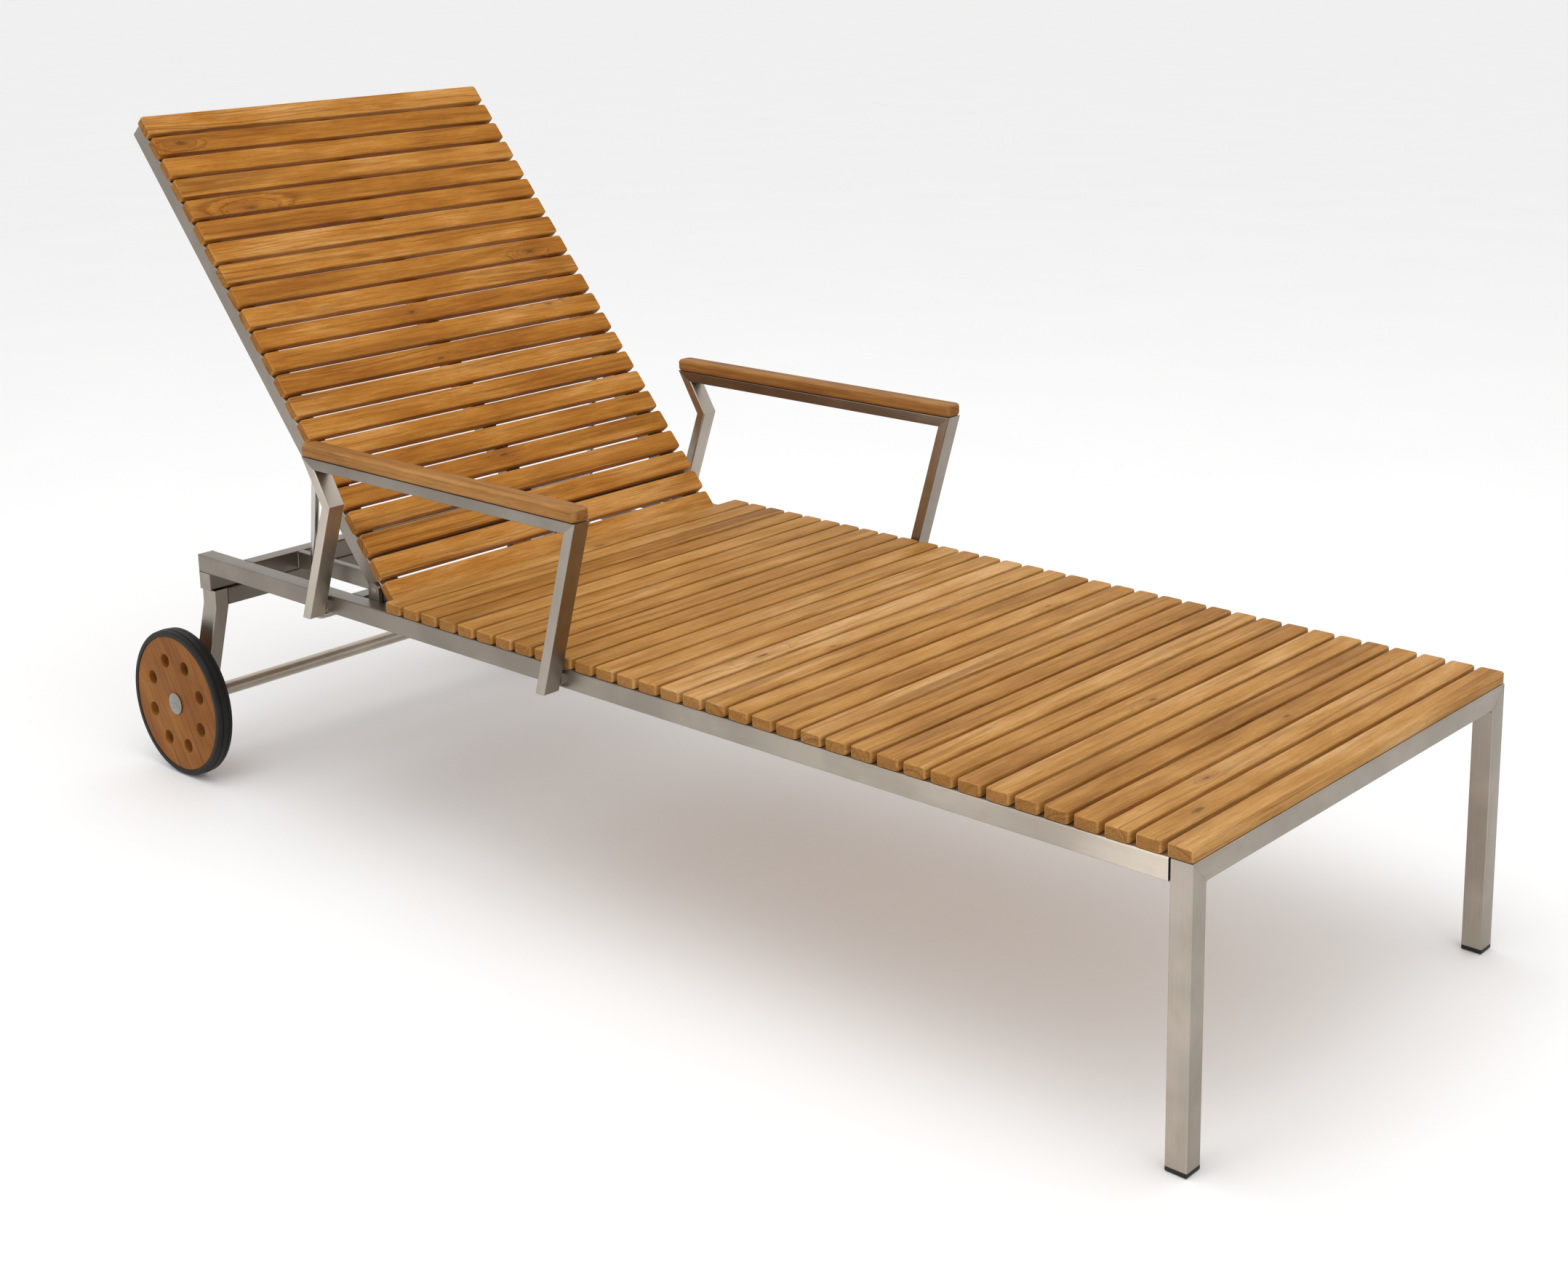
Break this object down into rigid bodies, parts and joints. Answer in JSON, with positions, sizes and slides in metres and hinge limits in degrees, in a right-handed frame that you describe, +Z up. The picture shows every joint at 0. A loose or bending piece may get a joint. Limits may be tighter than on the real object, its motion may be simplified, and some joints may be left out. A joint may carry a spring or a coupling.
{
  "type": "slatted sun lounger",
  "caption": "Slatted teak sun lounger on a square-tube stainless frame, with a tilting back held by a prop stay, two armrests and wooden wheels.",
  "frame": {"origin": "on the floor, in the middle of the overall length and width", "axes": "+X from the head end to the foot end, +Y towards the far side, +Z up"},
  "size_m": [1.783, 0.726, 0.9307],
  "materials": {
    "stainless_frame": "satin brushed tube, faintly warm",
    "stainless_back": "satin brushed tube",
    "stainless_fittings": "polished fittings",
    "stay_rod": "polished round rod",
    "teak_seat": "oiled teak, open grain",
    "teak_back": "oiled teak, open grain",
    "teak_caps": "oiled teak, smooth",
    "teak_wheel": "oiled teak, smooth",
    "tyre_rubber": "matt black rubber",
    "bush_plastic": "grey moulded bush",
    "glide_plastic": "black moulded glide",
    "joiner_plastic": "black moulded joiner"
  },
  "bodies": {
    "base": {"side_rail_near": "stainless_frame", "rail_end_cap_near": "stainless_frame", "foot_leg_near": "stainless_frame", "inner_bar_near": "stainless_frame", "rest_hook_near": "stainless_frame", "wheel_leg_near": "stainless_frame", "arm_front_leg_near": "stainless_frame", "arm_top_tube_near": "stainless_frame", "arm_rear_leg_near": "stainless_frame", "hinge_plate_near": "stainless_frame", "foot_glide_near": "glide_plastic", "axle_pin_near": "stainless_fittings", "hub_cap_near": "stainless_fittings", "arm_cap_near": "teak_caps", "side_rail_far": "stainless_frame", "rail_end_cap_far": "stainless_frame", "foot_leg_far": "stainless_frame", "inner_bar_far": "stainless_frame", "rest_hook_far": "stainless_frame", "wheel_leg_far": "stainless_frame", "arm_front_leg_far": "stainless_frame", "arm_top_tube_far": "stainless_frame", "arm_rear_leg_far": "stainless_frame", "hinge_plate_far": "stainless_frame", "foot_glide_far": "glide_plastic", "axle_pin_far": "stainless_fittings", "hub_cap_far": "stainless_fittings", "arm_cap_far": "teak_caps", "head_crossbar": "stainless_frame", "head_lower_tube": "stainless_frame", "lower_tube_caps": "stainless_frame", "hinge_crossbar": "stainless_frame", "foot_crossbar": "stainless_frame", "seat_center_bearer": "stainless_frame", "wheel_frame_crossbar": "stainless_frame", "axle_tube": "stainless_frame", "rail_joiners": "joiner_plastic", "seat_slats": "teak_seat", "wheel_frame_bolts": "stainless_fittings", "wheel_spacers": "stainless_fittings", "arm_spacers": "stainless_fittings", "arm_bolts": "stainless_fittings", "hinge_pins": "stainless_fittings"},
    "backrest": {"back_stile_near": "stainless_back", "back_stile_far": "stainless_back", "back_slats": "teak_back", "stay_pins": "stainless_fittings", "back_top_rail": "stainless_back", "back_bottom_rail": "stainless_back", "back_batten": "stainless_back"},
    "stay": {"stay_leg_near": "stay_rod", "stay_leg_far": "stay_rod", "stay_cross_rod": "stay_rod"},
    "wheel_near": {"wheel_disc_near": "teak_wheel", "tyre_near": "tyre_rubber", "hub_bush_near": "bush_plastic"},
    "wheel_far": {"wheel_disc_far": "teak_wheel", "tyre_far": "tyre_rubber", "hub_bush_far": "bush_plastic"}
  },
  "joints": [
    {"name": "back_tilt", "type": "hinge", "parent": "base", "child": "backrest", "pos_m": [-0.3818, 0, 0.3386], "axis": [0, 1, 0], "range_deg": [-45.7, 0]},
    {"name": "stay_swing", "type": "hinge", "parent": "backrest", "child": "stay", "pos_m": [-0.54923, 0, 0.52598], "axis": [0, 1, 0], "range_deg": [-35.3, 0]},
    {"name": "wheel_near_spin", "type": "hinge", "parent": "base", "child": "wheel_near", "pos_m": [-0.7845, -0.346, 0.107], "axis": [0, 1, 0], "continuous": true},
    {"name": "wheel_far_spin", "type": "hinge", "parent": "base", "child": "wheel_far", "pos_m": [-0.7845, 0.346, 0.107], "axis": [0, 1, 0], "continuous": true}
  ],
  "couplings": [
    {"joint": "stay_swing", "follows": "back_tilt", "ratio": 0.772}
  ]
}
